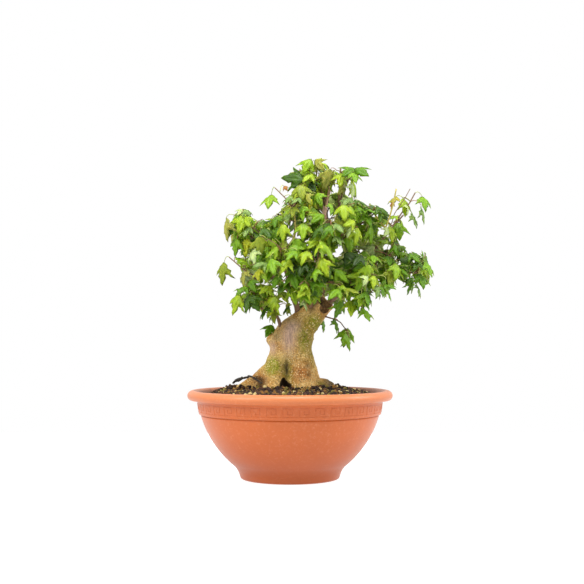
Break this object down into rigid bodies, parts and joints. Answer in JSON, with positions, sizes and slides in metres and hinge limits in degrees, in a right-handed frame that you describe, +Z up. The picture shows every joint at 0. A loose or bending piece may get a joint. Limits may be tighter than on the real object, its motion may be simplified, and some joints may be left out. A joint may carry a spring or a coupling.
{
  "type": "potted trident maple bonsai",
  "caption": "Small leaning maple with a flared, cut-back trunk, bare boughs and an open leafy crown, standing in gritty soil in a round rolled-rim bowl.",
  "frame": {"origin": "centre of the bowl's flat underside", "axes": "+Z up the tree, +X to the right and +Y away from the viewer in the pictured view; the tree leans towards +X"},
  "size_m": [0.3669, 0.2998, 0.4679],
  "materials": {
    "bowl": "moulded terracotta-coloured plastic with a faint sheen",
    "soil": "damp granular bonsai soil, dark brown with tan and cream grains",
    "bark": "flaky mottled bark, grey and beige with ochre and olive patches",
    "bough_bark": "thin smooth young bark, pinkish brown",
    "leaf": "thin leaves, satin above and paler below, yellow-green to deep green"
  },
  "bodies": {
    "root": {"bowl": "bowl", "soil": "soil", "trunk": "bark", "bough_leader": "bough_bark", "bough_second_leader": "bough_bark", "bough_left_shoot": "bough_bark", "bough_left": "bough_bark", "bough_right": "bough_bark", "bough_front": "bough_bark", "bough_back": "bough_bark", "bough_low_right": "bough_bark", "bough_yellow_shoot": "bough_bark", "bough_red_shoot": "bough_bark", "bough_top_right": "bough_bark", "bough_far_right": "bough_bark", "bough_front_right": "bough_bark", "bough_back_right": "bough_bark", "bough_back_left": "bough_bark", "bough_upper_back": "bough_bark", "bough_upper_right": "bough_bark", "bough_left_upper": "bough_bark", "bough_front_left": "bough_bark", "foliage_apex_left": "leaf", "foliage_apex_right": "leaf", "foliage_upper_left": "leaf", "foliage_upper_front": "leaf", "foliage_upper_right": "leaf", "foliage_upper_back": "leaf", "foliage_top_right": "leaf", "foliage_left_upper": "leaf", "foliage_left": "leaf", "foliage_left_low": "leaf", "foliage_front_left": "leaf", "foliage_front": "leaf", "foliage_front_right": "leaf", "foliage_right": "leaf", "foliage_far_right": "leaf", "foliage_back_left": "leaf", "foliage_back_right": "leaf", "foliage_back": "leaf", "foliage_low_right": "leaf"}
  },
  "joints": []
}
